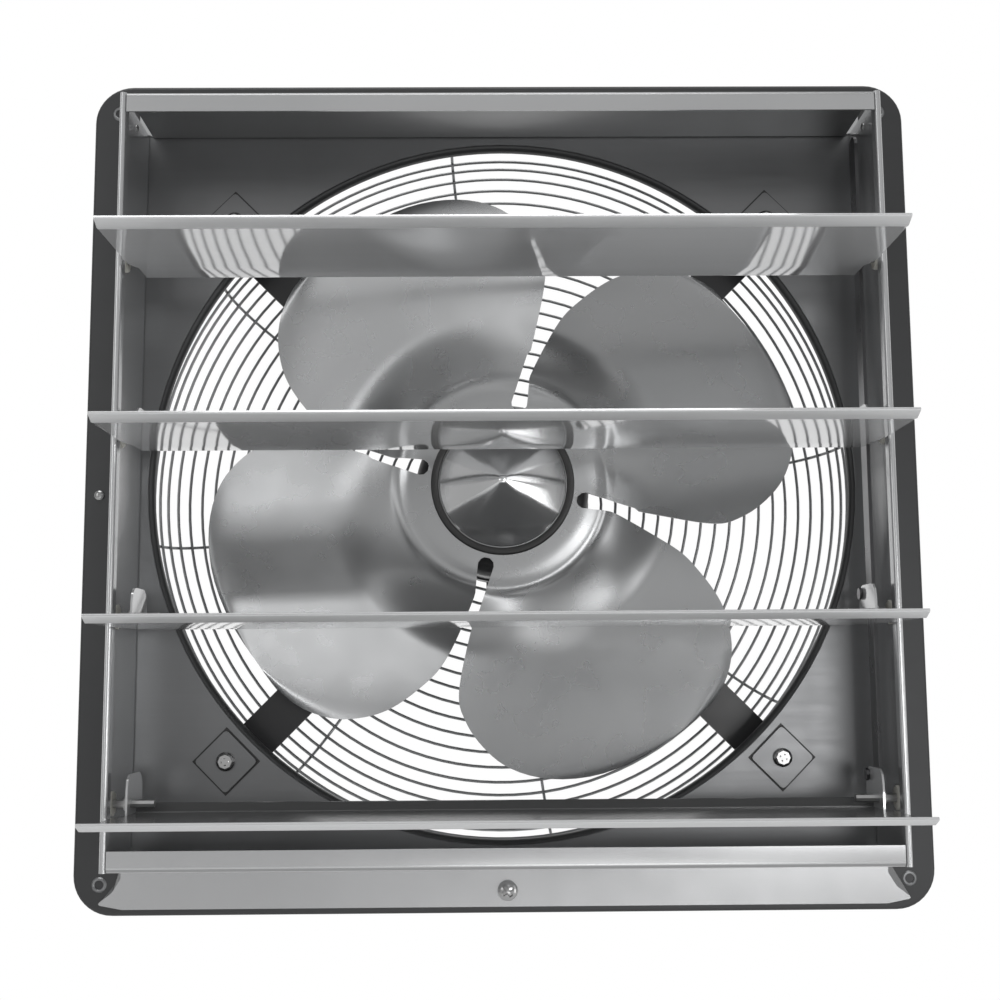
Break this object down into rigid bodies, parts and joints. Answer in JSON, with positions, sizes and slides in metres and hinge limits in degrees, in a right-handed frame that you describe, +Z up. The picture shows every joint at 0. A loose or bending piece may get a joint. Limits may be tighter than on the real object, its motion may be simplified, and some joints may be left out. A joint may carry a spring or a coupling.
{
  "type": "window exhaust fan",
  "caption": "Square-flanged exhaust fan with a bladed impeller, rear motor on arms, wire guard and a front box of linked pivoting louvers.",
  "frame": {"origin": "on the fan's axis, in the back face of the flange sheet that goes against the window or wall frame", "axes": "+Y along the fan's axis from the shutter side to the motor side, +Z up as pictured, +X to the right seen from the shutter side"},
  "size_m": [0.52, 0.2523, 0.52],
  "materials": {
    "dark_sheet": "dark grey coating, satin",
    "galvanised_sheet": "galvanised, faint brushed grain",
    "bright_sheet": "bright rolled sheet, satin",
    "polished_sheet": "polished, turned",
    "black_paint": "black, satin",
    "wire": "zinc-plated wire",
    "zinc_steel": "zinc-plated fasteners and shaft",
    "nylon": "natural nylon",
    "copper_wire": "varnished copper winding",
    "black_plastic": "matt"
  },
  "bodies": {
    "fan_frame": {"flange_panel": "dark_sheet", "fan_ring": "dark_sheet", "left_wall": "galvanised_sheet", "right_wall": "galvanised_sheet", "top_rail": "galvanised_sheet", "bottom_rail": "galvanised_sheet", "motor_front_cover": "black_paint", "motor_rear_cover": "black_paint", "stator": "zinc_steel", "front_winding": "copper_wire", "rear_winding": "copper_wire", "front_bearing": "zinc_steel", "rear_bearing": "zinc_steel", "cable_gland": "black_plastic", "pivot_bush_left_1": "nylon", "pivot_bush_right_1": "nylon", "pivot_bush_left_2": "nylon", "pivot_bush_right_2": "nylon", "pivot_bush_left_3": "nylon", "pivot_bush_right_3": "nylon", "pivot_bush_left_4": "nylon", "pivot_bush_right_4": "nylon", "upper_right_arm": "black_paint", "upper_right_arm_pad": "zinc_steel", "upper_right_arm_bolt": "zinc_steel", "upper_right_motor_bolt": "zinc_steel", "upper_left_arm": "black_paint", "upper_left_arm_pad": "zinc_steel", "upper_left_arm_bolt": "zinc_steel", "upper_left_motor_bolt": "zinc_steel", "lower_left_arm": "black_paint", "lower_left_arm_pad": "zinc_steel", "lower_left_arm_bolt": "zinc_steel", "lower_left_motor_bolt": "zinc_steel", "lower_right_arm": "black_paint", "lower_right_arm_pad": "zinc_steel", "lower_right_arm_bolt": "zinc_steel", "lower_right_motor_bolt": "zinc_steel", "wire_guard": "wire"},
    "impeller": {"blade_wheel": "bright_sheet", "spinner_cone": "polished_sheet", "hub_boss": "zinc_steel", "shaft_nut": "zinc_steel", "motor_shaft": "zinc_steel", "rotor": "zinc_steel"},
    "louver_1": {"louver_1": "bright_sheet", "pivot_pin_left_1": "zinc_steel", "pivot_pin_right_1": "zinc_steel"},
    "louver_2": {"louver_2": "bright_sheet", "pivot_pin_left_2": "zinc_steel", "pivot_pin_right_2": "zinc_steel"},
    "louver_3": {"louver_3": "bright_sheet", "pivot_pin_left_3": "zinc_steel", "pivot_pin_right_3": "zinc_steel"},
    "louver_4": {"louver_4": "bright_sheet", "pivot_pin_left_4": "zinc_steel", "pivot_pin_right_4": "zinc_steel"},
    "tie_bar": {"tie_bar": "galvanised_sheet"}
  },
  "joints": [
    {"name": "impeller_spin", "type": "hinge", "parent": "fan_frame", "child": "impeller", "pos_m": [0, 0, 0], "axis": [0, -1, 0], "continuous": true},
    {"name": "louver_1_swing", "type": "hinge", "parent": "fan_frame", "child": "louver_1", "pos_m": [0, -0.0527, 0.1285], "axis": [-1, 0, 0], "range_deg": [0, 78]},
    {"name": "louver_2_swing", "type": "hinge", "parent": "fan_frame", "child": "louver_2", "pos_m": [0, -0.0527, 0.0225], "axis": [-1, 0, 0], "range_deg": [0, 78]},
    {"name": "louver_3_swing", "type": "hinge", "parent": "fan_frame", "child": "louver_3", "pos_m": [0, -0.0527, -0.0835], "axis": [-1, 0, 0], "range_deg": [0, 78]},
    {"name": "louver_4_swing", "type": "hinge", "parent": "fan_frame", "child": "louver_4", "pos_m": [0, -0.0527, -0.1895], "axis": [-1, 0, 0], "range_deg": [0, 78]},
    {"name": "tie_bar_pivot", "type": "hinge", "parent": "louver_1", "child": "tie_bar", "pos_m": [0.219, -0.0327, 0.1405], "axis": [-1, 0, 0], "range_deg": [-79, 1]}
  ],
  "couplings": [
    {"joint": "louver_2_swing", "follows": "louver_1_swing", "ratio": 1},
    {"joint": "louver_3_swing", "follows": "louver_1_swing", "ratio": 1},
    {"joint": "louver_4_swing", "follows": "louver_1_swing", "ratio": 1},
    {"joint": "tie_bar_pivot", "follows": "louver_1_swing", "ratio": -1}
  ]
}
